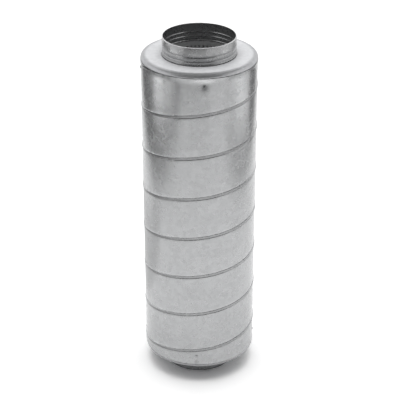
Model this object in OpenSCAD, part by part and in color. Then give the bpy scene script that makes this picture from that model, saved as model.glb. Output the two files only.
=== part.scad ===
// Round duct sound attenuator: a spiral lock-seam casing lined with mineral wool round a
// perforated tube, closed by two pressed end caps that carry male spigots for a round duct.
// The part stands on its lower spigot. The origin is the centre of that spigot's mouth.

/* [Casing] */
// Outside diameter of the casing sheet, between its seams
casing_d = 313; // [280:1:360]
// Length of the body, from one end cap's face to the other's
body_len = 900; // [600:10:1200]
// Thickness of the casing strip
casing_sheet = 0.8; // [0.6:0.1:1.2]

/* [Spiral lock seam] */
// Distance along the axis from one turn of the seam to the next
seam_pitch = 121; // [80:0.5:160]
// Depth below the upper end cap's face at which the seam first crosses the front
first_seam = 114.5; // [90:0.5:150]
// Width of the folded seam, along the axis
seam_w = 8; // [5:0.5:12]
// Height of the folded seam above the sheet
seam_h = 1.7; // [0.8:0.1:2.5]

/* [End caps] */
// Thickness of the sheet that the end caps and spigots are pressed from
cap_sheet = 0.8; // [0.5:0.1:1.2]
// Radius of the rounded shoulder
shoulder_r = 4; // [2:0.5:6]
// Height of the cap that shows beyond the casing's edge
rim_h = 15; // [12:0.5:20]
// How far the shoulder stands proud of the casing sheet
rim_proud = 0.6; // [0.4:0.1:2]
// Depth of the groove that is rolled in between the shoulder and the casing's edge
neck_depth = 2; // [1:0.1:3]
// Length of the skirt inside the casing
skirt_len = 36; // [34:1:50]
// Length of the collar that is turned in round the spigot
collar_len = 12; // [8:1:20]
// Bend radius at the collar
collar_bend_r = 3; // [2:0.5:5]

/* [Spigots] */
// Outside diameter of the spigots, which go into a duct 1 mm larger
spigot_d = 199; // [140:1:220]
// Length of the spigots beyond the end caps
spigot_len = 50; // [40:1:70]
// Length of the spigot tail inside the body
spigot_tail = 26; // [18:1:40]
// Radius of the turned-in lip at the mouth
lip_r = 2.5; // [1.5:0.5:4]
// Height above the end cap of the first swaged groove, and the pitch to the second
groove_pitch = 12; // [10:0.5:14]
// Number of swaged grooves
groove_count = 2; // [1:1:2]
// Width of a swaged groove
groove_w = 6; // [3:0.5:8]
// Depth of a swaged groove
groove_depth = 1; // [0.6:0.1:2]
// Width of the stop bead that rests on the end cap
bead_w = 5; // [3:0.5:7]
// Height of the stop bead above the spigot's wall
bead_h = 1.2; // [0.8:0.1:2.5]

/* [Perforated tube] */
// Thickness of the perforated sheet
tube_sheet = 0.6; // [0.4:0.1:1]
// Diameter of a perforation
hole_d = 9; // [4:0.5:12]
// Perforations round one row
holes_round = 12; // [6:1:12]
// Rows of perforations
hole_rows = 10; // [4:1:10]

/* [Lining] */
// Thickness of the glass fleece on the perforated tube
fleece_t = 1.2; // [0.5:0.1:2]

/* [Rivets] */
// Rivets round each end of the casing
rivet_count = 4; // [3:1:8]
// Distance of the upper rivets from the casing's edge
upper_rivet_inset = 19; // [14:1:24]
// Distance of the lower rivets from the casing's edge, which keeps them off the seam
lower_rivet_inset = 23; // [21:1:26]
// Shank diameter
rivet_d = 4; // [3:0.1:5]
// Head diameter
rivet_head_d = 8; // [6:0.5:9]
// Head height
rivet_head_h = 1.6; // [1:0.1:2.5]
// Length of the set tail inside the skirt
rivet_tail = 3; // [2:0.5:5]
// Turn of the upper row from the front, towards +X
upper_rivet_turn = 5; // [-20:1:20]
// Turn of the lower row from the front, towards +X
lower_rivet_turn = -3; // [-20:1:20]

/* [Fits] */
// Radial clearance between pieces that slide together
fit = 0.15; // [0.1:0.05:0.3]
// Clearance round the soft lining
soft_fit = 0.4; // [0.3:0.1:0.8]

/* [Hidden] */
$fn = 96;

galvanised = [0.72, 0.74, 0.76];
bright_galvanised = [0.82, 0.83, 0.85];
dull_galvanised = [0.55, 0.57, 0.59];
fleece_black = [0.13, 0.13, 0.14];
wool_yellow = [0.72, 0.66, 0.42];
rivet_grey = [0.62, 0.63, 0.65];

// Polar angle of the front, which faces -Y
front = -90;
// Angle between the seam's stations, and the number of facets in a bend and in a bead or groove
seam_step = 8;
bend_facets = 8;
wave_facets = 12;

// Heights along the axis
low_face_z = spigot_len;
top_face_z = spigot_len + body_len;
casing_low_z = low_face_z + rim_h;
casing_top_z = top_face_z - rim_h;
casing_len = casing_top_z - casing_low_z;

// Radii, from the outside in
casing_r = casing_d / 2;
casing_bore_r = casing_r - casing_sheet;
skirt_r = casing_bore_r - fit;
skirt_bore_r = skirt_r - cap_sheet;
rim_r = casing_r + rim_proud;
spigot_r = spigot_d / 2;
collar_bore_r = spigot_r + fit;
spigot_bore_r = spigot_r - cap_sheet;
tube_r = spigot_bore_r - fit;
tube_bore_r = tube_r - tube_sheet;

// The perforated tube stops where the turned collars begin, just under the end caps' faces
tube_low_z = low_face_z + collar_bend_r;
tube_len = body_len - 2 * collar_bend_r;

// The lining fills the space between the skirts' tips, the spigots' tails and the caps
lining_low_z = low_face_z + cap_sheet + soft_fit;
lining_len = body_len - 2 * (cap_sheet + soft_fit);
fleece_low_z = low_face_z + spigot_tail + soft_fit;
fleece_len = body_len - 2 * (spigot_tail + soft_fit);
fleece_bore_r = tube_r + fit;
fleece_r = fleece_bore_r + fleece_t;
wool_bore_r = max(fleece_r, collar_bore_r + cap_sheet) + soft_fit;
wool_r = casing_bore_r - soft_fit;
wool_end_r = skirt_bore_r - rivet_tail - 2 * soft_fit;
wool_end_len = rim_h + skirt_len - cap_sheet;
wool_face_r = min(wool_end_r, rim_r - shoulder_r) - soft_fit;
wool_face_bore_r = collar_bore_r + collar_bend_r;

function reversed(list) = [for (i = [len(list) - 1:-1:0]) list[i]];

// A smooth swell from 0 up to 1 and back, as s goes from 0 to 1
function wave(s) = (1 - cos(360 * s)) / 2;

// Points of an arc of radius r round c, from angle a to angle b
function arc(c, r, a, b) = [
    for (i = [0:bend_facets])
        let (t = a + (b - a) * i / bend_facets)
            c + r * [cos(t), sin(t)]
];

// Height of the seam's middle at a turn of t degrees from the front
function seam_z(t) = top_face_z - first_seam + seam_pitch * t / 360;

// The seam's section as [height above the sheet, place along the axis], foot to foot: a gentle
// underside below, and a steep step above, where the strip's edge is folded over. Its feet go
// through the sheet, so that the joint also shows as a fine ridge inside
seam_root = -casing_sheet / 4;
seam_foot = -2 * casing_sheet;
seam_section = [
    [seam_foot, -seam_w / 2],
    [seam_root, -seam_w / 2],
    [seam_h, -seam_w / 8],
    [seam_h, seam_w / 2 - seam_h / 3],
    [seam_root, seam_w / 2],
    [seam_foot, seam_w / 2]
];
seam_sides = len(seam_section);
// Room kept between the seam's run-out and the casing's cut edge, for each point of the section
seam_trim = 0.1;
// Height of the joint's ridge inside the casing
ridge_h = 0.05;

// A point of the seam, trimmed where the casing is cut off square
function seam_point(t, k) =
    let (
        r = casing_r + seam_section[k][0],
        z = seam_z(t) + seam_section[k][1],
        low = casing_low_z + seam_trim * (k + 1),
        high = casing_top_z - seam_trim * (seam_sides - k),
        a = front + t
    )
    [r * cos(a), r * sin(a), min(max(z, low), high)];

// The fold that runs round the casing, as a helix from the lower edge to the upper one
module lock_seam() {
    first = ceil((casing_low_z - seam_z(0) - seam_w / 2) * 360 / seam_pitch / seam_step) + 1;
    last = floor((casing_top_z - seam_z(0) + seam_w / 2) * 360 / seam_pitch / seam_step) - 1;
    stations = last - first + 1;
    points = [
        for (i = [first:last])
            for (k = [0:seam_sides - 1])
                seam_point(i * seam_step, k)
    ];
    flanks = [
        for (i = [0:stations - 2])
            for (k = [0:seam_sides - 1])
                let (
                    a = i * seam_sides + k,
                    b = i * seam_sides + (k + 1) % seam_sides
                )
                each [[a, b, a + seam_sides], [b, b + seam_sides, a + seam_sides]]
    ];
    start = [for (k = [seam_sides - 1:-1:0]) k];
    end = [for (k = [0:seam_sides - 1]) (stations - 1) * seam_sides + k];
    polyhedron(points, concat([start], flanks, [end]));
}

// Places a child made along +X at each rivet of a row at height z
module rivet_row(turn, z) {
    for (i = [0:rivet_count - 1])
        translate([0, 0, z])
            rotate([0, 0, front + turn + i * 360 / rivet_count])
                children();
}

module upper_rivet_row() {
    rivet_row(upper_rivet_turn, casing_top_z - upper_rivet_inset) children();
}

module lower_rivet_row() {
    rivet_row(lower_rivet_turn, casing_low_z + lower_rivet_inset) children();
}

// A drilling through the casing and the skirt, along +X
module rivet_hole() {
    translate([wool_end_r, 0, 0])
        rotate([0, 90, 0])
            cylinder(d = rivet_d + 2 * fit, h = rim_r - wool_end_r + seam_h);
}

// A set blind rivet along +X: a domed head, a shank and the spread tail
module rivet() {
    tail_d = 1.5 * rivet_d;
    dome_r = (pow(rivet_head_d / 2, 2) + pow(rivet_head_h, 2)) / (2 * rivet_head_h);
    rotate([0, 90, 0]) {
        translate([0, 0, casing_r])
            intersection() {
                translate([0, 0, rivet_head_h - dome_r]) sphere(r = dome_r);
                cylinder(d = rivet_head_d, h = rivet_head_h);
            }
        translate([0, 0, skirt_bore_r - rivet_tail])
            cylinder(d = rivet_d, h = casing_r - skirt_bore_r + rivet_tail + rivet_head_h / 2);
        translate([0, 0, skirt_bore_r - rivet_tail - fit])
            cylinder(d = tail_d, h = rivet_tail);
    }
}

// One wall of the cap's rim, from the shoulder's foot down to the skirt's tip. The rolled groove
// is half a wave deep, and comes out of it at the skirt's smaller radius
function cap_rim(inset) = concat(
    [
        for (i = [0:wave_facets])
            let (s = i / wave_facets)
                [
                    rim_r - inset + (skirt_r - rim_r) * s - neck_depth * wave(s),
                    -shoulder_r - (rim_h - shoulder_r) * s
                ]
    ],
    [[skirt_r - inset, -rim_h - skirt_len]]
);

// Section of an end cap, with its face at height 0 and the body below it
module cap_section() {
    bend_c = [collar_bore_r + collar_bend_r, -collar_bend_r];
    shoulder_c = [rim_r - shoulder_r, -shoulder_r];
    collar_tip_z = -collar_bend_r - collar_len;
    polygon(concat(
        [[collar_bore_r, collar_tip_z]],
        arc(bend_c, collar_bend_r, 180, 90),
        arc(shoulder_c, shoulder_r, 90, 0),
        cap_rim(0),
        reversed(cap_rim(cap_sheet)),
        arc(shoulder_c, shoulder_r - cap_sheet, 0, 90),
        arc(bend_c, collar_bend_r - cap_sheet, 90, 180),
        [[collar_bore_r + cap_sheet, collar_tip_z]]
    ));
}

// One wall of the spigot from its tail up to its lip, at radius wall_r. The stop bead swells
// out over the end cap's face, and each swaged groove is pressed in
function spigot_wall(wall_r) = concat(
    [[wall_r, -spigot_tail]],
    [
        for (i = [0:wave_facets])
            let (s = i / wave_facets)
                [wall_r + bead_h * wave(s), bead_w * s]
    ],
    [
        for (n = [1:groove_count])
            for (i = [0:wave_facets])
                let (s = i / wave_facets)
                    [wall_r - groove_depth * wave(s), n * groove_pitch + groove_w * (s - 1 / 2)]
    ]
);

// Section of a spigot, with the end cap's face at height 0 and the mouth above it
module spigot_section() {
    lip_c = [spigot_r - lip_r, spigot_len - lip_r];
    polygon(concat(
        spigot_wall(spigot_r),
        arc(lip_c, lip_r, 0, 90),
        arc(lip_c, lip_r - cap_sheet, 90, 0),
        reversed(spigot_wall(spigot_bore_r))
    ));
}

// Turns an upper-end piece over to the lower end
module at_top() {
    translate([0, 0, top_face_z]) children();
}

module at_bottom() {
    translate([0, 0, low_face_z]) mirror([0, 0, 1]) children();
}

module ring(outer_r, bore_r, h) {
    difference() {
        cylinder(r = outer_r, h = h);
        translate([0, 0, -1]) cylinder(r = bore_r, h = h + 2);
    }
}

module outer_casing() {
    color(galvanised)
        difference() {
            union() {
                translate([0, 0, casing_low_z]) ring(casing_r, casing_bore_r, casing_len);
                difference() {
                    lock_seam();
                    cylinder(r = casing_bore_r - ridge_h, h = top_face_z);
                }
            }
            upper_rivet_row() rivet_hole();
            lower_rivet_row() rivet_hole();
        }
}

module top_end_cap() {
    color(bright_galvanised)
        difference() {
            at_top() rotate_extrude() cap_section();
            upper_rivet_row() rivet_hole();
        }
}

module bottom_end_cap() {
    color(bright_galvanised)
        difference() {
            at_bottom() rotate_extrude() cap_section();
            lower_rivet_row() rivet_hole();
        }
}

module top_spigot() {
    color(dull_galvanised) at_top() rotate_extrude() spigot_section();
}

module bottom_spigot() {
    color(dull_galvanised) at_bottom() rotate_extrude() spigot_section();
}

// Rows of round perforations, each row turned half a step from the last
module perforated_tube() {
    row_pitch = tube_len / (hole_rows + 1);
    hole_step = 360 / holes_round;
    color(dull_galvanised)
        translate([0, 0, tube_low_z])
            difference() {
                ring(tube_r, tube_bore_r, tube_len);
                for (row = [1:hole_rows])
                    for (i = [0:holes_round - 1])
                        rotate([0, 0, front + (i + (row % 2) / 2) * hole_step])
                            translate([tube_bore_r / 2, 0, row * row_pitch])
                                rotate([0, 90, 0]) cylinder(d = hole_d, h = tube_r);
            }
}

module fleece_wrap() {
    color(fleece_black)
        translate([0, 0, fleece_low_z]) ring(fleece_r, fleece_bore_r, fleece_len);
}

// The wool is squeezed in at its ends by the collars, the shoulders, the skirts and the rivets' tails
module mineral_wool() {
    half = [
        [wool_bore_r, collar_bend_r],
        [wool_face_bore_r, 0],
        [wool_face_r, 0],
        [wool_end_r, wool_end_r - wool_face_r],
        [wool_end_r, wool_end_len],
        [wool_r, wool_end_len + wool_r - wool_end_r]
    ];
    color(wool_yellow)
        translate([0, 0, lining_low_z])
            rotate_extrude()
                polygon(concat(half, [for (p = reversed(half)) [p[0], lining_len - p[1]]]));
}

module top_rivets() {
    color(rivet_grey) upper_rivet_row() rivet();
}

module bottom_rivets() {
    color(rivet_grey) lower_rivet_row() rivet();
}

outer_casing();
top_end_cap();
bottom_end_cap();
top_spigot();
bottom_spigot();
perforated_tube();
fleece_wrap();
mineral_wool();
top_rivets();
bottom_rivets();
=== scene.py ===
# %% [markdown]
# # A round duct silencer
#
# The object is a length of spiral duct with a second, perforated tube inside it and mineral wool
# between the two. Air passes through the middle, and the wool takes the noise out of it. Two
# pressed end caps close the body, and each carries a short spigot that a duct is pushed over.
#
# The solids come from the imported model, in metres, with +Z up and the front facing -Y. This lesson
# dresses them: thin sheet metal is made again as numpy surfaces with finer curves, and every
# piece gets a finish worked out from nodes.

import bpy
import numpy as np
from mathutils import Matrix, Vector


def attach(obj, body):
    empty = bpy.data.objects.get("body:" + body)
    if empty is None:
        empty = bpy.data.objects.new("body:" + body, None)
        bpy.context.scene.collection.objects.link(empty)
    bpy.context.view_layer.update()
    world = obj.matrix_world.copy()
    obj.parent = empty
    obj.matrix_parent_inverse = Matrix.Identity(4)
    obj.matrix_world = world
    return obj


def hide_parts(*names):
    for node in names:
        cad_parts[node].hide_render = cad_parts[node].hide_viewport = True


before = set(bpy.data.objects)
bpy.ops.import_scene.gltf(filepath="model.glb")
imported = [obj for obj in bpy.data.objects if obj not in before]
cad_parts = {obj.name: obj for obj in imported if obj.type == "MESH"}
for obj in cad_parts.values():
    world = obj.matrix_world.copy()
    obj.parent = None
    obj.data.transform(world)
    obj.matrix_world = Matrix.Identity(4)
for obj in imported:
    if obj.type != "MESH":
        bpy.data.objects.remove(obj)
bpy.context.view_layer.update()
print("nodes:", sorted(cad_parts))

# %% [markdown]
# ## Sizes
#
# A maker thinks of sheet metal in millimetres, so the shapes below are worked out in millimetres
# and turned into metres when they become a mesh. The main sizes are the ones that the solids have.
# Some small ones were tuned to the way the real sheet catches the light: the casing's ends reach
# 3 mm further over the caps' grooves, the caps' shoulders are rounder, and the seam's top is rolled
# a little flatter, which also keeps every piece inside the solids' box.

# %% Sizes in millimetres
MM = 0.001
SHEET = 0.8
CASING_R = 156.5
CASING_BORE_R = 155.7
LOW_FACE_Z = 50.0
TOP_FACE_Z = 950.0
RIM_H = 15.0
CASING_LIP = 3.0
CASING_LOW_Z = LOW_FACE_Z + RIM_H - CASING_LIP
CASING_TOP_Z = TOP_FACE_Z - RIM_H + CASING_LIP
SEAM_PITCH = 121.0
SEAM_H = 1.7
SEAM_TOP_R = 157.85
FIRST_SEAM_Z = TOP_FACE_Z - 114.5
SPIGOT_R = 99.5
SPIGOT_LEN = 50.0
QUARTERS = 90.0 * np.arange(4)
UPPER_RIVETS = (np.radians(5.0 + QUARTERS), TOP_FACE_Z - 34.0)
LOWER_RIVETS = (np.radians(-3.0 + QUARTERS), LOW_FACE_Z + 38.0)
print("casing runs from", CASING_LOW_Z, "to", CASING_TOP_Z, "mm")

# %% [markdown]
# ## Points, faces and pieces
#
# A mesh is only points and faces. The first helper puts arrays of both into a Blender mesh, shades
# it smooth with true creases kept sharp, and hides the solid that the piece stands for.
# The lathe carries a closed profile round the axis, which is how a spun or pressed part is made.
# A screw modifier could do the same, but then the profile would have to be an object of its own.
# The others are small: faces between rings of points, and the few curves that sheet metal has.


# %% A piece from arrays
def add_piece(name, points, faces, node, crease=38.0, joint=None):
    """Makes a mesh from points in millimetres and faces as rows of point numbers.

    Edges where the faces turn by more than the crease angle stay sharp. A value for each point,
    which places painted shade and painted highlights, can be kept in the mesh for a finish to read.
    """
    mesh = bpy.data.meshes.new(name)
    mesh.from_pydata((points * MM).tolist(), [], faces.tolist())
    mesh.polygons.foreach_set("use_smooth", np.ones(len(mesh.polygons), dtype=bool))
    mesh.set_sharp_from_angle(angle=np.radians(crease))
    if joint is not None:
        kept = mesh.attributes.new("joint", "FLOAT", "POINT")
        kept.data.foreach_set("value", joint.astype(np.float32))
    mesh.update()
    piece = bpy.data.objects.new(name, mesh)
    bpy.context.collection.objects.link(piece)
    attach(piece, "root")
    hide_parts(node)
    print(name, "points:", len(points), "faces:", len(faces))
    return piece


# %% Points and faces round the axis
LATHE_COLUMNS = 256


def round_axis(radius, turn, height):
    """Points round the duct's axis: (radius * sin turn, -radius * cos turn, height).

    A turn is measured from the front, towards +X.
    """
    x = radius * np.sin(turn)
    y = -radius * np.cos(turn)
    z = np.broadcast_to(height, x.shape)
    return np.stack([x, y, z], axis=-1)


def full_circle(columns):
    """Evenly spaced turns, without the last one, which is the first again."""
    return np.linspace(0, 2 * np.pi, columns, endpoint=False)


def grid_quads(rings, columns, closed):
    """Quads between neighbouring rings of points, and from the last ring to the first if closed.

    A quad's corners are a point, its neighbour in the next ring, and both their neighbours
    further round.
    """
    starts = rings if closed else rings - 1
    j, i = np.meshgrid(np.arange(starts), np.arange(columns), indexing="ij")
    this_ring = j * columns
    next_ring = (j + 1) % rings * columns
    i_next = (i + 1) % columns
    corners = [this_ring + i, next_ring + i, next_ring + i_next, this_ring + i_next]
    return np.stack(corners, axis=-1).reshape(-1, 4)


def ring_band(lower, upper):
    """Quads between two rings of point numbers, facing out where upper lies above lower."""
    return np.stack([lower, np.roll(lower, -1), np.roll(upper, -1), upper], axis=-1)


def halves(quads):
    """Cuts quads into triangles: the first three corners of each, then the first and last two."""
    return np.concatenate([quads[:, [0, 1, 2]], quads[:, [0, 2, 3]]])


def lathe(profile):
    """Carries a closed profile of (radius, height) pairs round the axis.

    The profile is put in clockwise order first, which makes the faces point out of the sheet. Its
    order is told by the sign of its area, the sum of radius * next height - next radius * height.
    """
    radius, height = profile.T
    area = np.sum(radius * np.roll(height, -1) - np.roll(radius, -1) * height)
    if area > 0:
        radius = radius[::-1]
        height = height[::-1]
    points = round_axis(radius[:, None], full_circle(LATHE_COLUMNS), height[:, None])
    return points.reshape(-1, 3), grid_quads(len(radius), LATHE_COLUMNS, closed=True)


print("columns round a piece from the lathe:", LATHE_COLUMNS)


# %% Curves of sheet metal
def wave(s):
    """A smooth swell from 0 up to 1 and back to 0, as s goes from 0 to 1: half of 1 - cos."""
    return (1 - np.cos(2 * np.pi * s)) / 2


def bell(value, middle, width, power=2):
    """1 at the middle and smoothly down to 0 beside it: e to the -((value - middle) / width)^power."""
    return np.exp(-(((value - middle) / width) ** power))


def spot(across, up, wide, tall):
    """1 in the middle of a round or oval spot and down to 0 round it: a bell curve each way."""
    return np.exp(-((across / wide) ** 2) - (up / tall) ** 2)


def smooth_step(value, start, end):
    """0 up to the start, 1 from the end on, and between them the S curve s * s * (3 - 2 * s)."""
    s = np.clip((value - start) / (end - start), 0, 1)
    return s * s * (3 - 2 * s)


def arc(centre, radius, start, end, steps=10):
    """Points of an arc round a centre, from one angle to another in degrees."""
    angle = np.radians(np.linspace(start, end, steps))
    across = centre[0] + radius * np.cos(angle)
    up = centre[1] + radius * np.sin(angle)
    return np.stack([across, up], axis=-1)


print("a wave at its quarters:", wave(np.linspace(0, 1, 5)).round(2).tolist())

# %% [markdown]
# ## The spiral casing
#
# The casing is one strip of galvanised steel wound into a tube, with its edges folded together
# into a lock seam that climbs like a screw thread. A plain cylinder with a seam on top of it would
# leave two skins, so the mesh itself is wound: its rows run along the strip, and after one turn
# a row meets the row that lies one pitch above it. The seam is then just a swell of the radius
# across the strip, and the ends are cut off square by clamping the height.
#
# The seam isn't symmetrical. On its upper side the strip's edge is folded over in a steep step,
# whose edge gets a painted highlight. Its underside slopes back to the sheet, with a fine gap at its
# foot. The casing's two ends are flared out a little where they were pushed over the caps.
#
# Shade is painted into the fold and round the upper rivets, weaker lower down, with a painted
# shadow under each lower rivet, and highlights are painted on the step and above the upper rivets.
# It could be painted by noise, but then it would miss the fold. So each point of the mesh keeps a
# number for it, worked out from the same distances as the shape.

# %% The seam's section
FOLD_FOOT = -4.0
SLOPE_RUN = 3.0
STEP_FOOT = 4.0
STEP_RUN = 0.6
GAP_DEPTH = 0.45


def from_seam(turn, z):
    """Distance above the middle of the nearest turn of the seam, along the axis.

    The seam climbs one pitch in a full turn. That climb is taken off the height, and the rest is
    brought into the half pitch either side of 0.
    """
    climb = SEAM_PITCH * turn / (2 * np.pi)
    half = SEAM_PITCH / 2
    return np.mod(z - FIRST_SEAM_Z - climb + half, SEAM_PITCH) - half


def seam_swell(s):
    """Height of the seam above the sheet at s millimetres above the seam's middle.

    It goes evenly up a sloping underside, stays level and comes evenly down a steep step. A bell
    curve is taken off at the foot, for the gap under the fold.
    """
    up = np.clip((s - FOLD_FOOT) / SLOPE_RUN, 0, 1)
    down = np.clip((STEP_FOOT - s) / STEP_RUN, 0, 1)
    gap = GAP_DEPTH * bell(s, middle=-4.2, width=0.45)
    return SEAM_H * up * down - gap


print("seam stands", seam_swell(np.array([0.0, 3.7, 20.0])).round(2).tolist(), "mm proud")

# %% The sheet round the rivets, and its radius
DRAWN_IN = 0.1
FLARE = 1.1
FLARE_RUN = 5.5
DENT_SPREAD = 8.0
DENTS = ((UPPER_RIVETS, 0.9), (LOWER_RIVETS, 0.5))


def rivet_distance(turn, z, row):
    """Distances along the sheet from the nearest rivet of a row, round the casing and up it.

    The turn from the first rivet is brought into half a spacing either side of 0, and the radius
    makes a length of it.
    """
    turns, height = row
    spacing = turns[1] - turns[0]
    off = np.mod(turn - turns[0] + spacing / 2, spacing) - spacing / 2
    return CASING_R * off, z - height


def casing_radius(turn, z):
    """Radius of the sheet at a turn and a height.

    Two slow sines make it uneven, a bell curve flares each end, and a round spot is pulled in at
    each rivet. The seam's swell comes on top, rolled flat where it would leave the solids' box.
    """
    slow = 0.06 * np.sin(5 * turn + 0.011 * z) + 0.04 * np.sin(9 * turn - 0.023 * z + 1.3)
    flare = bell(z, CASING_TOP_Z, FLARE_RUN) + bell(z, CASING_LOW_Z, FLARE_RUN)
    sheet = CASING_R - DRAWN_IN + slow + FLARE * flare
    for row, depth in DENTS:
        across, up = rivet_distance(turn, z, row)
        sheet = sheet - depth * spot(across, up, DENT_SPREAD, DENT_SPREAD)
    swell = seam_swell(from_seam(turn, z))
    return np.minimum(sheet + swell, SEAM_TOP_R)


at_rivet = casing_radius(UPPER_RIVETS[0][0], UPPER_RIVETS[1])
print("radius at an upper rivet:", at_rivet.round(2), "mm")


# %% Grime and wear on the sheet
def seam_joint(s):
    """How much painted light a point of the seam gets, at s millimetres above the seam's middle.

    Painted shade is above 0: most in the foot of the underside, less on the fold's top. A painted
    highlight on the step's edge is below 0, and the open sheet has 0. Each part is a bell curve
    round its own middle.
    """
    foot = 0.8 * bell(s, middle=-3.6, width=1.5)
    top = 0.66 * bell(s, middle=0.6, width=3.2, power=4)
    step_highlight = 1.3 * bell(s, middle=3.75, width=0.6)
    return np.maximum(foot, top) - step_highlight


def seam_painted_share(turn, z):
    """How strong the seam's painted shade and highlight are: weaker lower down, and strongest on the
    left of the front.

    The share goes evenly from a low height to a high one, and the left is a bell curve of the turn.
    """
    share = np.interp(z, [250.0, 750.0], [0.70, 1.0])
    left = bell(np.degrees(turn), middle=310.0, width=25.0)
    return share * (0.82 + 0.8 * left)


def rivet_joint(turn, z):
    """Painted shade round the upper rivets, less a painted highlight above each.

    Under each lower rivet, a painted shadow runs down to the edge of the sheet.
    """
    across, up = rivet_distance(turn, z, UPPER_RIVETS)
    painted_dent_shade = spot(across, up, wide=8.5, tall=7.5)
    painted_highlight_above = 0.8 * spot(across, up - 15.5, wide=24.0, tall=5.0)
    across, up = rivet_distance(turn, z, LOWER_RIVETS)
    painted_shadow_below = 0.6 * spot(across, up + 19.0, wide=3.5, tall=6.0)
    return painted_dent_shade - painted_highlight_above + painted_shadow_below


# Painted shade at the seam's foot and top, and a painted highlight on its step.
across_seam = seam_joint(np.array([-3.6, 0.6, 3.75]))
print("grime at the seam's foot, top and step:", across_seam.round(2).tolist())

# %% The wound grid of the casing
COLUMNS = 200
PLAIN_ROWS = 19
underside_rows = [-5.4, -4.9, -4.6, -4.4, -4.2, -4.0, -3.8, -3.3, -2.6, -1.8, -1.0]
step_rows = [0.2, 1.6, 2.8, 3.3, 3.42, 3.55, 3.7, 3.85, 4.0, 4.5]
plain_rows = np.linspace(step_rows[-1], SEAM_PITCH + underside_rows[0], PLAIN_ROWS)[1:-1]
strip_rows = np.concatenate([underside_rows, step_rows, plain_rows])
per_pitch = len(strip_rows)
turns_below = int(np.ceil((CASING_TOP_Z - CASING_LOW_Z) / SEAM_PITCH)) + 2
start_z = FIRST_SEAM_Z - SEAM_PITCH * turns_below
row_z = (start_z + SEAM_PITCH * np.arange(turns_below + 3)[:, None] + strip_rows).ravel()
turn = full_circle(COLUMNS)
grid_z = row_z[:, None] + SEAM_PITCH * turn / (2 * np.pi)
grid_z = np.clip(grid_z, CASING_LOW_Z, CASING_TOP_Z)
grid_turn = np.broadcast_to(turn, grid_z.shape)
sheet_points = round_axis(casing_radius(grid_turn, grid_z), grid_turn, grid_z)
print("rows across one pitch:", per_pitch, "rows in all:", len(row_z))

# %% The casing's outside
# Rows that the clamp pushed onto an end cut have the same height in a column, so they get the same
# number there. A triangle that uses a number twice has no area and is dropped.
MICRONS = 1000
rows = len(row_z)
level = np.round(grid_z * MICRONS).astype(np.int64)
key = level * COLUMNS + np.arange(COLUMNS)
_, first_use, number = np.unique(key, return_index=True, return_inverse=True)
number = number.reshape(rows, COLUMNS)
k, i = np.meshgrid(np.arange(rows - per_pitch - 1), np.arange(COLUMNS), indexing="ij")
wraps = i == COLUMNS - 1
i_next = np.where(wraps, 0, i + 1)
k_next = np.where(wraps, k + per_pitch, k)
low_side = [number[k, i], number[k_next, i_next]]
high_side = [number[k_next + 1, i_next], number[k + 1, i]]
outside = halves(np.stack(low_side + high_side, axis=-1).reshape(-1, 4))
used_twice = (outside == np.roll(outside, -1, axis=1)).any(axis=1)
outside = outside[~used_twice]
outside_points = sheet_points.reshape(-1, 3)[first_use]
print("triangles on the outside:", len(outside))

# %% The casing, closed by its cuts and its bore
bore_low = len(outside_points) + np.arange(COLUMNS)
bore_top = bore_low + COLUMNS
bore_rings = [round_axis(CASING_BORE_R, turn, z) for z in (CASING_LOW_Z, CASING_TOP_Z)]
top_cut = halves(ring_band(number[-1], bore_top))
bore = halves(ring_band(bore_top, bore_low))
low_cut = halves(ring_band(bore_low, number[0]))
# Painted shade and painted highlights of the seam and the rivets, one value for each point.
shade_and_highlight = seam_joint(from_seam(grid_turn, grid_z)) * seam_painted_share(grid_turn, grid_z)
shade_and_highlight = (shade_and_highlight + rivet_joint(grid_turn, grid_z)).ravel()[first_use]
casing = add_piece(
    "spiral_casing",
    np.concatenate([outside_points] + bore_rings),
    np.concatenate([outside, top_cut, bore, low_cut]),
    "outer_casing",
    crease=50.0,
    joint=np.concatenate([shade_and_highlight, np.zeros(2 * COLUMNS)]),
)

# %% [markdown]
# ## End caps
#
# Each cap is pressed from one sheet: a collar turned in round the spigot, a flat matt face, a
# rounded shoulder that the press has burnished, a groove rolled in below it, and a skirt that
# slides into the casing. It could be a disc with bevels, but the rolled groove has no bevel to
# make it. The whole sheet is one closed profile here, so the lathe gives both of its sides and its
# edges at once. Shade is painted onto the burnished shoulder, and more of it lower down and into
# the groove. The lower cap is the same one upside down, with stronger painted shade on its edge.

# %% Profile of a cap
RIM_R = CASING_R + 0.6
RIM_GROOVE = 1.0
SKIRT_R = CASING_BORE_R - 0.15
SKIRT_LEN = 36.0
SHOULDER_R = 10.0
COLLAR_R = SPIGOT_R + 0.15
COLLAR_LEN = 15.0
BEND_R = 3.0
RIM_STEPS = 28
FACE_STEPS = 8


def cap_rim(inset):
    """One side of the rim: from the shoulder's foot through the rolled groove to the skirt's tip.

    The radius goes evenly from the rim's to the skirt's, less a wave as deep as the groove.
    """
    s = np.linspace(0, 1, RIM_STEPS)
    radius = RIM_R - inset + (SKIRT_R - RIM_R) * s - RIM_GROOVE * wave(s)
    height = -SHOULDER_R - (RIM_H - SHOULDER_R) * s
    groove = np.stack([radius, height], axis=-1)
    skirt = [[SKIRT_R - inset, -RIM_H - SKIRT_LEN / 2], [SKIRT_R - inset, -RIM_H - SKIRT_LEN]]
    return np.concatenate([groove, skirt])


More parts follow.
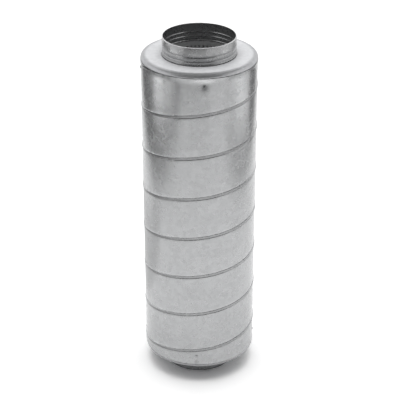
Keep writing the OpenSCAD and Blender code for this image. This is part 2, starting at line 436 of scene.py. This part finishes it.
def cap_profile():
    """The pressed sheet's section, with its face at height 0 and the body below.

    Straight lines and arcs lead along the outer side to the skirt's tip, and the same ones, set in
    by the sheet's thickness, lead back along the inner side.
    """
    bend = (COLLAR_R + BEND_R, -BEND_R)
    shoulder = (RIM_R - SHOULDER_R, -SHOULDER_R)
    face_r = np.linspace(bend[0], shoulder[0], FACE_STEPS)[1:-1]
    face = np.stack([face_r, np.zeros_like(face_r)], axis=-1)
    parts = [
        [[COLLAR_R, -COLLAR_LEN]],
        arc(bend, BEND_R, 180, 90),
        face,
        arc(shoulder, SHOULDER_R, 90, 0)[:-1],
        cap_rim(0.0),
        cap_rim(SHEET)[::-1],
        arc(shoulder, SHOULDER_R - SHEET, 0, 90)[1:],
        face[::-1] - [0.0, SHEET],
        arc(bend, BEND_R - SHEET, 90, 180),
        [[COLLAR_R + SHEET, -COLLAR_LEN]],
    ]
    return np.concatenate(parts)


cap_section = cap_profile()
print("points in a cap's profile:", len(cap_section), "reach:", cap_section[:, 0].max().round(2), "mm")

# %% Both caps
LOW_CAP_SHADE = 2.2


def at_both_ends(section):
    """Points and faces of a section on the top face, and of the same one upside down below."""
    top = lathe(section + [0.0, TOP_FACE_Z])
    low = lathe(section * [1.0, -1.0] + [0.0, LOW_FACE_Z])
    return *top, *low


def rolled_edge(points, depth):
    """Where the press tool has burnished a cap and shade is painted: 0 on the matt face, 1 on the
    rolled edge, burnished with a little painted shade, and 2 further down the shoulder and in the
    groove, with more painted shade.

    Two smooth steps make it, one of the distance from the axis and one of the depth below the face.
    """
    reach = np.hypot(points[:, 0], points[:, 1])
    edge = smooth_step(reach, start=143.0, end=148.0)
    return edge * (1 + smooth_step(depth, start=3.0, end=6.0))


top_points, top_faces, low_points, low_faces = at_both_ends(cap_section)
# The edge's value makes it burnished metal and paints shade onto it; on the lower cap the painted shade
# is stronger.
top_burnish_and_shade = rolled_edge(top_points, TOP_FACE_Z - top_points[:, 2])
low_burnish_and_shade = LOW_CAP_SHADE * rolled_edge(low_points, low_points[:, 2] - LOW_FACE_Z)
top_cap = add_piece("top_cap", top_points, top_faces, "top_end_cap", joint=top_burnish_and_shade)
low_cap = add_piece("low_cap", low_points, low_faces, "bottom_end_cap", joint=low_burnish_and_shade)

# %% [markdown]
# ## Spigots
#
# A spigot is a short collar with a stop bead at its foot, two swaged grooves that stiffen it, and
# a lip turned in at the mouth so that no raw edge is left. Its tail goes down inside the cap's
# collar and round the perforated tube. The lip and the lands beside the grooves get a painted
# highlight: their colour is brighter and less metallic than the rest. Grooves could be cut from a
# plain tube, but a swage bends the sheet and leaves it as thick as before, so both sides of the
# wall follow the same waves.

# %% Profile of a spigot
TAIL_LEN = 26.0
TAIL_BEND = 12.0
BEAD_OUT = 1.2
BEAD_H = 5.0
GROOVE_IN = 1.0
GROOVE_H = 6.0
GROOVES_Z = (12.0, 24.0)
LAND_Z = 36.0
LIP_R = 2.5
WAVE_STEPS = 20
LAND_SHARE = 0.4


def spigot_wall(radius):
    """One side of the wall, from the tail up to the lip.

    The radius has one wave out for the bead and two waves in for the grooves.
    """
    s = np.linspace(0, 1, WAVE_STEPS)
    tail = [[radius, -TAIL_LEN], [radius, -TAIL_BEND]]
    bead = np.stack([radius + BEAD_OUT * wave(s), BEAD_H * s], axis=-1)
    groove_r = radius - GROOVE_IN * wave(s)
    grooves = [np.stack([groove_r, middle + GROOVE_H * (s - 0.5)], axis=-1) for middle in GROOVES_Z]
    return np.concatenate([tail, bead, *grooves, [[radius, LAND_Z]]])


def spigot_profile():
    """The spigot's section, with the cap's face at height 0 and the mouth above.

    The outer side ends in a quarter arc for the lip, and the inner side leads back from it.
    """
    lip = (SPIGOT_R - LIP_R, SPIGOT_LEN - LIP_R)
    outer = [spigot_wall(SPIGOT_R), arc(lip, LIP_R, 0, 90)]
    inner = [arc(lip, LIP_R - SHEET, 90, 0), spigot_wall(SPIGOT_R - SHEET)[::-1]]
    return np.concatenate(outer + inner)


def lip_and_land_highlight(height):
    """Where a spigot gets a painted highlight: 1 on the lip, and part of that on the two lands beside
    the grooves.

    The height is measured from the cap's face. The lip is a smooth step of it, and each land is
    a bell curve.
    """
    lip = smooth_step(height, start=SPIGOT_LEN - 2.2, end=SPIGOT_LEN - 0.6)
    lands = bell(height, middle=8.5, width=2.5) + bell(height, middle=18.5, width=3.0)
    return lip + LAND_SHARE * lands


spigot_section = spigot_profile()
print("points in a spigot's profile:", len(spigot_section))

# %% Both spigots
top_points, top_faces, low_points, low_faces = at_both_ends(spigot_section)
# Painted highlights on the lip and the lands of each spigot.
top_highlight = lip_and_land_highlight(top_points[:, 2] - TOP_FACE_Z)
low_highlight = lip_and_land_highlight(LOW_FACE_Z - low_points[:, 2])
top_collar = add_piece("top_collar", top_points, top_faces, "top_spigot", joint=top_highlight)
low_collar = add_piece("low_collar", low_points, low_faces, "bottom_spigot", joint=low_highlight)

# %% [markdown]
# ## The perforated tube
#
# The airway's wall is a sheet full of small holes in staggered rows, with black fleece behind it.
# Cutting thousands of holes with booleans would be slow, so the sheet is laid out like brickwork:
# every brick has six points on its edge, shared with its neighbours, and a six-sided hole in it.
# Six quads join the hole to the brick's edge on each face of the sheet, and six more line the hole.

# %% Brickwork of holes
TUBE_R = 98.55
TUBE_BORE_R = 97.95
TUBE_LOW_Z = 53.0
TUBE_TOP_Z = 947.0
HOLES_ROUND = 56
HOLE_ROWS = 92
HOLE_R = 3.4
HOLE_SIDES = 6
ROW_STEP = 9.5
AROUND = 2 * HOLES_ROUND
zone_low = 0.5 * (TUBE_LOW_Z + TUBE_TOP_Z - HOLE_ROWS * ROW_STEP)
half_step = np.pi / HOLES_ROUND
edge_row, edge_col = np.meshgrid(np.arange(HOLE_ROWS + 1), np.arange(AROUND), indexing="ij")
edge_turn = (edge_col * half_step).ravel()
edge_z = (zone_low + edge_row * ROW_STEP).ravel()
brick_row, brick = np.meshgrid(np.arange(HOLE_ROWS), np.arange(HOLES_ROUND), indexing="ij")
left = 2 * brick + brick_row % 2
middle_turn = (left + 1) * half_step
middle_z = zone_low + (brick_row + 0.5) * ROW_STEP
corner_angle = np.radians([-150.0, -90.0, -30.0, 30.0, 90.0, 150.0])
hole_turn = (middle_turn[..., None] + HOLE_R * np.cos(corner_angle) / TUBE_R).ravel()
hole_z = (middle_z[..., None] + HOLE_R * np.sin(corner_angle)).ravel()
print("holes:", HOLES_ROUND * HOLE_ROWS)

# %% Points of the tube
end_turn = edge_col[0] * half_step
side_turn = np.concatenate([edge_turn, hole_turn, end_turn, end_turn])
end_z = [np.full(AROUND, TUBE_LOW_Z), np.full(AROUND, TUBE_TOP_Z)]
side_z = np.concatenate([edge_z, hole_z, *end_z])
sides = [round_axis(radius, side_turn, side_z) for radius in (TUBE_R, TUBE_BORE_R)]
tube_points = np.concatenate(sides)
per_side = len(side_turn)
print("points on each side of the sheet:", per_side)

# %% Faces of the tube
step_over = np.array([0, 1, 2, 2, 1, 0])
step_up = np.array([0, 0, 0, 1, 1, 1])
edge_number = (brick_row[..., None] + step_up) * AROUND + (left[..., None] + step_over) % AROUND
edge_number = edge_number.reshape(-1, HOLE_SIDES)
edge_next = np.roll(edge_number, -1, axis=1)
hole_number = len(edge_turn) + np.arange(len(hole_turn)).reshape(-1, HOLE_SIDES)
hole_next = np.roll(hole_number, -1, axis=1)
web = np.stack([edge_number, edge_next, hole_next, hole_number], axis=-1).reshape(-1, 4)
lining = np.stack([hole_number, hole_next, hole_next + per_side, hole_number + per_side], axis=-1)
low_edge = np.arange(AROUND)
top_edge = HOLE_ROWS * AROUND + low_edge
low_end = per_side - 2 * AROUND + low_edge
top_end = low_end + AROUND
outer_faces = np.concatenate([web, ring_band(low_end, low_edge), ring_band(top_edge, top_end)])
inner_faces = outer_faces[:, ::-1] + per_side
top_rim = ring_band(top_end, top_end + per_side)
low_rim = ring_band(low_end + per_side, low_end)
tube_faces = np.concatenate([outer_faces, inner_faces, lining.reshape(-1, 4), top_rim, low_rim])
tube = add_piece("airway_tube", tube_points, tube_faces, "perforated_tube")

# %% [markdown]
# ## Rivets
#
# Blind rivets hold the caps' skirts in the casing. Each has a low dome with a small hole where its
# pulling pin broke off, a shank, and a spread tail inside. Four copies of one object could be
# turned into place, but a piece keeps its place in its mesh. So one rivet is a profile turned round
# its own axis, and all four of a row come from one array, turned to their places.

# %% Profile of a rivet
HEAD_R = 4.0
HEAD_H = 1.5
PIN_HOLE_R = 1.2
SHANK_R = 2.0
TAIL_R = 3.0
TIP_R = 0.02
DOME_STEPS = 8


def rivet_profile():
    """Pairs of (distance from the rivet's axis, distance from the duct's axis), from the pin's hole
    over the dome and along the shank to the tail's tip.

    The dome is a quarter of an ellipse.
    """
    sweep = np.radians(np.linspace(0, 90, DOME_STEPS))
    dome_r = PIN_HOLE_R + (HEAD_R - PIN_HOLE_R) * np.sin(sweep)
    dome = np.stack([dome_r, CASING_R + HEAD_H * np.cos(sweep)], axis=-1)
    hole = [[TIP_R, CASING_R - 0.4], [1.0, CASING_R - 0.3], [1.1, CASING_R + 1.2]]
    under_head = [[HEAD_R, CASING_R - 0.45], [SHANK_R, CASING_R - 0.5]]
    inside = SKIRT_R - SHEET - 0.15
    shank = [[SHANK_R, inside], [TAIL_R, inside - 0.3]]
    tail = [[TAIL_R, inside - 2.6], [2.2, inside - 3.0], [TIP_R, inside - 3.1]]
    return np.concatenate([hole, dome, under_head, shank, tail])


rivet_section = rivet_profile()
print("points in a rivet's profile:", len(rivet_section))

# %% Rows of rivets
RIVET_COLUMNS = 28


def rivet_points(turns, height):
    """The profile is turned round an axis that points straight out of the casing at each turn.

    A point goes out along that axis, sideways by its distance * cos spin, and up by its
    distance * sin spin.
    """
    spin = full_circle(RIVET_COLUMNS)
    side = rivet_section[:, 0, None] * np.cos(spin)
    rise = rivet_section[:, 0, None] * np.sin(spin)
    out = rivet_section[:, 1, None]
    turns = turns[:, None, None]
    x = out * np.sin(turns) + side * np.cos(turns)
    y = -out * np.cos(turns) + side * np.sin(turns)
    z = np.broadcast_to(height + rise, x.shape)
    return np.stack([x, y, z], axis=-1).reshape(-1, 3)


def each_rivet(faces, count):
    """One rivet's faces again for each rivet of a row, with their point numbers moved on."""
    shift = np.arange(count)[:, None, None] * len(rivet_section) * RIVET_COLUMNS
    return (faces + shift).reshape(-1, faces.shape[1])


def add_rivets(name, turns, height, node):
    """Joins each rivet's rings with halved quads, and closes both tips with a fan of triangles."""
    quads = grid_quads(len(rivet_section), RIVET_COLUMNS, closed=False)
    ring = np.arange(RIVET_COLUMNS)
    hole_fan = np.stack([np.zeros_like(ring[2:]), ring[1:-1], ring[2:]], axis=-1)
    tail_fan = hole_fan[:, [0, 2, 1]] + (len(rivet_section) - 1) * RIVET_COLUMNS
    fans = np.concatenate([hole_fan, tail_fan])
    count = len(turns)
    faces = np.concatenate([halves(each_rivet(quads, count)), each_rivet(fans, count)])
    return add_piece(name, rivet_points(turns, height), faces, node)


top_row = add_rivets("top_rivet_row", *UPPER_RIVETS, "top_rivets")
low_row = add_rivets("low_rivet_row", *LOWER_RIVETS, "bottom_rivets")

# %% [markdown]
# ## Galvanised steel
#
# Hot-dip zinc freezes in flat crystals, the spangle, which differ a little in brightness and in
# gloss. A picture of real spangle could be mapped on, but it would have to be unwrapped and it
# wouldn't travel with the part. A cell texture in the piece's own coordinates gives each crystal
# its own value, slow noise gives the cloudiness of handled sheet, and both nudge the colour, the
# roughness of a metal shader, with a faint bump. Where a mesh keeps a value for painted light, it
# paints shade and highlights into the zinc there, and sets its metal value.


# %% Node helpers
def new_finish(name):
    """A material with nodes, its node tree and its shader."""
    finish = bpy.data.materials.new(name)
    finish.use_nodes = True
    tree = finish.node_tree
    return finish, tree, tree.nodes["Principled BSDF"]


def blend_range(tree, source, low, high, start=0.0, end=1.0, clamp=True):
    """Maps a value that goes from start to end to a range, and beyond it too where clamp is off."""
    node = tree.nodes.new("ShaderNodeMapRange")
    node.clamp = clamp
    node.inputs["From Min"].default_value = start
    node.inputs["From Max"].default_value = end
    node.inputs["To Min"].default_value = low
    node.inputs["To Max"].default_value = high
    tree.links.new(source, node.inputs["Value"])
    return node.outputs["Result"]


def noise(tree, coordinates, scale, detail=3.0):
    """A noise value in the piece's own coordinates."""
    node = tree.nodes.new("ShaderNodeTexNoise")
    node.inputs["Scale"].default_value = scale
    node.inputs["Detail"].default_value = detail
    tree.links.new(coordinates, node.inputs["Vector"])
    return node.outputs["Fac"]


def combine(tree, operation, one, two):
    """What a Math node makes of two values: MULTIPLY is their product, MAXIMUM the larger one."""
    node = tree.nodes.new("ShaderNodeMath")
    node.operation = operation
    tree.links.new(one, node.inputs[0])
    tree.links.new(two, node.inputs[1])
    return node.outputs["Value"]


def blend_colours(tree, share, one, two):
    """The first colour where the share is 0, the second where it is 1, and a blend between."""
    node = tree.nodes.new("ShaderNodeMix")
    node.data_type = "RGBA"
    node.inputs["A"].default_value = (*one, 1.0)
    node.inputs["B"].default_value = (*two, 1.0)
    tree.links.new(share, node.inputs["Factor"])
    return node.outputs["Result"]


def raise_bump(tree, shader, height, strength, distance):
    """Makes the surface look uneven by a height, at most by a distance in metres."""
    uneven = tree.nodes.new("ShaderNodeBump")
    uneven.inputs["Strength"].default_value = strength
    uneven.inputs["Distance"].default_value = distance
    tree.links.new(height, uneven.inputs["Height"])
    tree.links.new(uneven.outputs["Normal"], shader.inputs["Normal"])


# %% The zinc finish
SPANGLE_SHARE = 0.05
CLOUD_SHARE = 0.08
CRYSTAL_GLOSS = 0.08
CLOUD_GLOSS = 0.15
CLOUD_SCALE = 9.0
GLOSS_SCALE = 30.0
BUMP_SCALE = 42.0


def around(tree, source, share, middle=1.0):
    """Maps a 0 to 1 value to a middle value, less and plus a share of it."""
    return blend_range(tree, source, (1 - share) * middle, (1 + share) * middle)


def zinc(name, tone, rough, crystal=95.0, metal=1.0, joint=None):
    """Galvanised sheet: tone is its grey as (red, green, blue), rough its middle roughness.

    The colour is the tone times the crystal's value, the cloud's value and a painted share. Where
    the mesh keeps a value for painted shade and painted highlights, the last argument gives the
    share of the tone and the metal value there.
    """
    finish, tree, shader = new_finish(name)
    own = tree.nodes.new("ShaderNodeTexCoord").outputs["Object"]
    cells = tree.nodes.new("ShaderNodeTexVoronoi")
    cells.inputs["Scale"].default_value = crystal
    tree.links.new(own, cells.inputs["Vector"])
    split = tree.nodes.new("ShaderNodeSeparateColor")
    tree.links.new(cells.outputs["Color"], split.inputs["Color"])
    spangle = around(tree, split.outputs["Red"], SPANGLE_SHARE)
    cloud = around(tree, noise(tree, own, CLOUD_SCALE), CLOUD_SHARE)
    light = combine(tree, "MULTIPLY", spangle, cloud)
    shader.inputs["Metallic"].default_value = metal
    if joint is not None:
        tone_share, joint_metal = joint
        kept = tree.nodes.new("ShaderNodeAttribute")
        kept.attribute_name = "joint"
        # The kept value paints shade and highlights into the colour: there the tone is multiplied by
        # its share.
        joint_tone = blend_range(tree, kept.outputs["Fac"], 1.0, tone_share, clamp=False)
        light = combine(tree, "MULTIPLY", light, joint_tone)
        metal_there = blend_range(tree, kept.outputs["Fac"], metal, joint_metal)
        tree.links.new(metal_there, shader.inputs["Metallic"])
    colour = tree.nodes.new("ShaderNodeMix")
    colour.data_type = "RGBA"
    colour.blend_type = "MULTIPLY"
    colour.inputs["Factor"].default_value = 1.0
    colour.inputs["A"].default_value = (*tone, 1.0)
    tree.links.new(light, colour.inputs["B"])
    tree.links.new(colour.outputs["Result"], shader.inputs["Base Color"])
    crystal_gloss = around(tree, split.outputs["Green"], CRYSTAL_GLOSS, rough)
    cloud_gloss = around(tree, noise(tree, own, GLOSS_SCALE), CLOUD_GLOSS)
    gloss = combine(tree, "MULTIPLY", crystal_gloss, cloud_gloss)
    tree.links.new(gloss, shader.inputs["Roughness"])
    raise_bump(tree, shader, noise(tree, own, BUMP_SCALE, 4.0), strength=0.02, distance=0.002)
    return finish


# Where the meshes keep their value, the casing gets painted shade and painted highlights, the caps
# painted shade on a burnished metal edge, and the collars a painted highlight that is brighter and less
# metallic.
casing_zinc = zinc("casing_zinc", (0.378, 0.382, 0.387), 0.26, joint=(0.3, 1.0))
cap_zinc = zinc("cap_zinc", (0.60, 0.605, 0.62), 0.45, metal=0.1, joint=(0.9, 1.0))
collar_zinc = zinc("collar_zinc", (0.35, 0.352, 0.356), 0.28, metal=0.9, joint=(1.8, 0.3))
tube_zinc = zinc("tube_zinc", (0.60, 0.605, 0.61), 0.45, metal=0.6)
# The upper rivets are a darker grey than the lower ones.
rivet_alloy = zinc("rivet_alloy", (0.20, 0.203, 0.208), 0.40, crystal=400.0)
pale_rivet_alloy = zinc("pale_rivet_alloy", (0.42, 0.425, 0.43), 0.36, crystal=400.0)
metals = (casing_zinc, cap_zinc, collar_zinc, tube_zinc, rivet_alloy, pale_rivet_alloy)
print("metal finishes:", [finish.name for finish in metals])

# %% [markdown]
# ## Fleece and wool
#
# Behind the holes lies black glass fleece, and behind that the yellow wool. Strands could be grown
# as hair, but they only show through small holes. Their plain solids are right in shape, so they
# stay and only get finishes: fine fibres from noise, with a rough, dull surface.


# %% The soft finishes
def fibre(name, dark, pale, scale):
    """A matt fibre mat: noise mixes a dark and a pale colour, and raises a bump."""
    finish, tree, shader = new_finish(name)
    own = tree.nodes.new("ShaderNodeTexCoord").outputs["Object"]
    strands = noise(tree, own, scale, 6.0)
    tree.links.new(blend_colours(tree, strands, dark, pale), shader.inputs["Base Color"])
    shader.inputs["Roughness"].default_value = 0.95
    raise_bump(tree, shader, strands, strength=0.4, distance=0.001)
    return finish


black_fleece = fibre("black_fleece", (0.012, 0.012, 0.013), (0.035, 0.035, 0.037), 900.0)
yellow_wool = fibre("yellow_wool", (0.50, 0.42, 0.20), (0.76, 0.68, 0.42), 260.0)

# %% A finish for every piece
for piece, finish in (
    (casing, casing_zinc),
    (top_cap, cap_zinc),
    (low_cap, cap_zinc),
    (top_collar, collar_zinc),
    (low_collar, collar_zinc),
    (tube, tube_zinc),
    (top_row, rivet_alloy),
    (low_row, pale_rivet_alloy),
):
    piece.data.materials.clear()
    piece.data.materials.append(finish)
for node, finish in (("fleece_wrap", black_fleece), ("mineral_wool", yellow_wool)):
    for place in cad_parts[node].material_slots:
        place.material = finish
print("finishes:", [finish.name for finish in bpy.data.materials])

# %% [markdown]
# ## Camera
#
# The camera could be set by eye, but the seam's turns give it away: how their spacing closes up
# towards the bottom fixes its height and its distance, and the width of the casing fixes the lens.

# %% Camera
CAMERA_AT = (0.002, -3.274, 2.197)
LOOKS_DOWN = 27.26
camera_data = bpy.data.cameras.new("camera")
camera_data.sensor_width = 36.0
camera_data.lens = 117.8
camera = bpy.data.objects.new("camera", camera_data)
bpy.context.collection.objects.link(camera)
camera.location = CAMERA_AT
camera.rotation_euler = (np.radians(90.0 - LOOKS_DOWN), 0.0, 0.0)
bpy.context.scene.camera = camera
print("camera at", [round(value, 3) for value in camera.location])

# %% [markdown]
# ## Studio
#
# Bare metal shows what stands round it more than it shows its own colour. The casing mirrors the
# floor in front of it and to its sides, and the upright bands near its edges are where the white
# paper of a studio ends, about 1.4 m away. The bands could be painted on the zinc, but then they
# would stay with the part when it is turned or lit another way.
#
# So the floor is one wide sheet of white paper, and seven cards are laid on it for the metal to
# mirror: grey and dark ones at the sides and the back, a white one close by on the left, and a dark
# one along the front. A dark screen stands behind the camera, and a grey ceiling hangs above it.
# All of them only show in mirroring surfaces. The camera and the light pass through them.


# %% Finishes of the studio
def matt(name, grey):
    """A plain matt finish for the studio."""
    finish, _, shader = new_finish(name)
    shader.inputs["Base Color"].default_value = (grey, grey, grey, 1.0)
    shader.inputs["Roughness"].default_value = 1.0
    shader.inputs["Specular IOR Level"].default_value = 0.0
    return finish


def shown_rays(tree):
    """1 for rays from the camera and for those that metal and glass send on, 0 for the light itself."""
    path = tree.nodes.new("ShaderNodeLightPath").outputs
    mirrored = combine(tree, "MAXIMUM", path["Is Glossy Ray"], path["Is Transmission Ray"])
    return combine(tree, "MAXIMUM", path["Is Camera Ray"], mirrored)


def paper_finish(name, grey, shown):
    """White paper: a plain matt white to the light, and a brighter white where it is seen."""
    finish, tree, _ = new_finish(name)
    tint = blend_colours(tree, shown_rays(tree), [grey] * 3, [shown] * 3)
    paper = tree.nodes.new("ShaderNodeBsdfDiffuse")
    tree.links.new(tint, paper.inputs["Color"])
    tree.links.new(paper.outputs["BSDF"], tree.nodes["Material Output"].inputs["Surface"])
    return finish


white_paper = paper_finish("white_paper", 0.6, 1.36)
dark_card = matt("dark_card", 0.12)
strip_card = matt("strip_card", 0.17)
back_card = matt("back_card", 0.23)
grey_card = matt("grey_card", 0.55)
pale_card = matt("pale_card", 0.60)
white_card = matt("white_card", 0.95)
print("finishes with the studio's:", len(bpy.data.materials))


# %% Floor
def stage_sheet(name, corners, finish, only_mirrored=True):
    """A flat sheet with its corners in order, as part of the studio and not of the object.

    A sheet that is only mirrored lets the light through and doesn't show to the camera.
    """
    mesh = bpy.data.meshes.new(name)
    mesh.from_pydata(corners, [], [range(len(corners))])
    mesh.materials.append(finish)
    sheet = bpy.data.objects.new(name, mesh)
    bpy.context.collection.objects.link(sheet)
    if only_mirrored:
        sheet.visible_camera = False
        sheet.visible_diffuse = False
        sheet.visible_shadow = False


FAR = 8.0
floor_corners = [(-FAR, -FAR, 0), (FAR, -FAR, 0), (FAR, FAR, 0), (-FAR, FAR, 0)]
stage_sheet("floor", floor_corners, white_paper, only_mirrored=False)
print("floor:", 2 * FAR, "m wide")

# %% Cards on the floor
CARD_Z = 0.002
left_front = [
    (-1.33, -2.1), (-1.36, 0.45), (-2.30, 0.45), (-2.08, 0.0),
    (-1.92, -0.6), (-1.70, -1.1), (-1.74, -1.6), (-1.75, -2.1),
]
left_back = [(-1.38, 0.45), (-1.30, 2.2), (-2.70, 2.2), (-2.60, 0.35), (-2.2, 0.40)]
left_near = [
    (-0.35, 0.30), (-0.85, -0.10), (-1.12, -0.12), (-1.08, 0.25),
    (-0.80, 0.75), (-0.50, 1.3), (-0.20, 1.3),
]
right_inner = [(1.36, -0.8), (1.52, -0.8), (1.54, 0.6), (1.38, 0.6)]
right_outer = [
    (1.36, -1.3), (1.62, -1.05), (1.86, -0.5), (1.88, 0.3),
    (1.84, 0.6), (1.54, 0.6), (1.52, -0.8), (1.36, -0.8),
]
right_back = [(1.38, 0.6), (1.90, 0.80), (2.30, 0.92), (2.20, 2.2), (1.36, 2.2)]
front_edge = [
    (-2.2, -2.1), (-1.5, -2.3), (-0.4, -2.76), (1.1, -2.76),
    (1.4, -4.0), (-3.2, -4.0), (-2.8, -2.6),
]
cards = (
    ("left_front", left_front, strip_card),
    ("left_back", left_back, back_card),
    ("left_near", left_near, white_card),
    ("right_inner", right_inner, dark_card),
    ("right_outer", right_outer, pale_card),
    ("right_back", right_back, strip_card),
    ("front_edge", front_edge, dark_card),
)
for name, outline, finish in cards:
    stage_sheet(name, [(x, y, CARD_Z) for x, y in outline], finish)
print("cards on the floor:", len(cards))

# %% Screen and ceiling
SCREEN_Y = -4.2
CEILING_Z = 4.6
screen_corners = [(-5.0, 0.3), (5.0, 0.3), (5.0, 5.0), (-5.0, 5.0)]
ceiling_corners = [(-4.0, SCREEN_Y), (4.0, SCREEN_Y), (4.0, 2.6), (-4.0, 2.6)]
stage_sheet("screen", [(x, SCREEN_Y, z) for x, z in screen_corners], dark_card)
stage_sheet("ceiling", [(x, y, CEILING_Z) for x, y in ceiling_corners], grey_card)
print("sheets that only show in mirrors:", len(cards) + 2)

# %% [markdown]
# ## Light
#
# One large soft lamp hangs over the part, and two weak ones light the paper at its sides. The
# lamps don't show in the metal. The room adds a soft light of its own: most from straight above,
# hardly any from low down, and less from the camera's side. One even sky would be simpler, but it
# would fill in the shadow at the foot. To the camera and in mirrors the room is plain white.


# %% Lamps
def soft_lamp(name, place, aim, size, power, spread=180.0):
    """A square soft lamp at a place, turned to face a point. Its beam opens by spread degrees."""
    light = bpy.data.lights.new(name, "AREA")
    light.size = size
    light.energy = power
    light.spread = np.radians(spread)
    lamp = bpy.data.objects.new(name, light)
    bpy.context.collection.objects.link(lamp)
    lamp.location = place
    lamp.visible_glossy = False
    way = Vector(aim) - Vector(place)
    lamp.rotation_euler = way.to_track_quat("-Z", "Y").to_euler()


soft_lamp("overhead", place=(0.0, 0.2, 3.4), aim=(0.0, 0.0, 0.0), size=2.6, power=48.0)
soft_lamp("left_side", place=(-2.9, -0.2, 1.7), aim=(-2.4, 0.0, 0.0), size=0.9, power=4.0, spread=60.0)
soft_lamp("right_side", place=(2.9, -0.4, 1.7), aim=(2.4, -0.2, 0.0), size=0.9, power=2.5, spread=60.0)
print("lamps:", [lamp.name for lamp in bpy.data.lights])

# %% Light of the room
LOW_SKY = 0.01
TOP_SKY = 2.0
FRONT_SHARE = 0.30
world = bpy.data.worlds.new("studio")
bpy.context.scene.world = world
world.use_nodes = True
tree = world.node_tree
background = tree.nodes["Background"]
background.inputs["Color"].default_value = (1.0, 1.0, 1.0, 1.0)
way = tree.nodes.new("ShaderNodeSeparateXYZ")
tree.links.new(tree.nodes.new("ShaderNodeTexCoord").outputs["Generated"], way.inputs["Vector"])
height = blend_range(tree, way.outputs["Z"], 0.0, 1.0)
squared = combine(tree, "MULTIPLY", height, height)
cubed = combine(tree, "MULTIPLY", height, squared)
from_above = blend_range(tree, cubed, LOW_SKY, TOP_SKY)
from_behind = blend_range(tree, way.outputs["Y"], FRONT_SHARE, 1.0, start=-0.9, end=0.1)
sky = combine(tree, "MULTIPLY", from_above, from_behind)
strength = tree.nodes.new("ShaderNodeMix")
strength.inputs["B"].default_value = 1.0
tree.links.new(shown_rays(tree), strength.inputs["Factor"])
tree.links.new(sky, strength.inputs["A"])
tree.links.new(strength.outputs["Result"], background.inputs["Strength"])
bpy.context.scene.view_settings.view_transform = "Standard"
print("light of the room from", LOW_SKY, "low down to", TOP_SKY, "above")
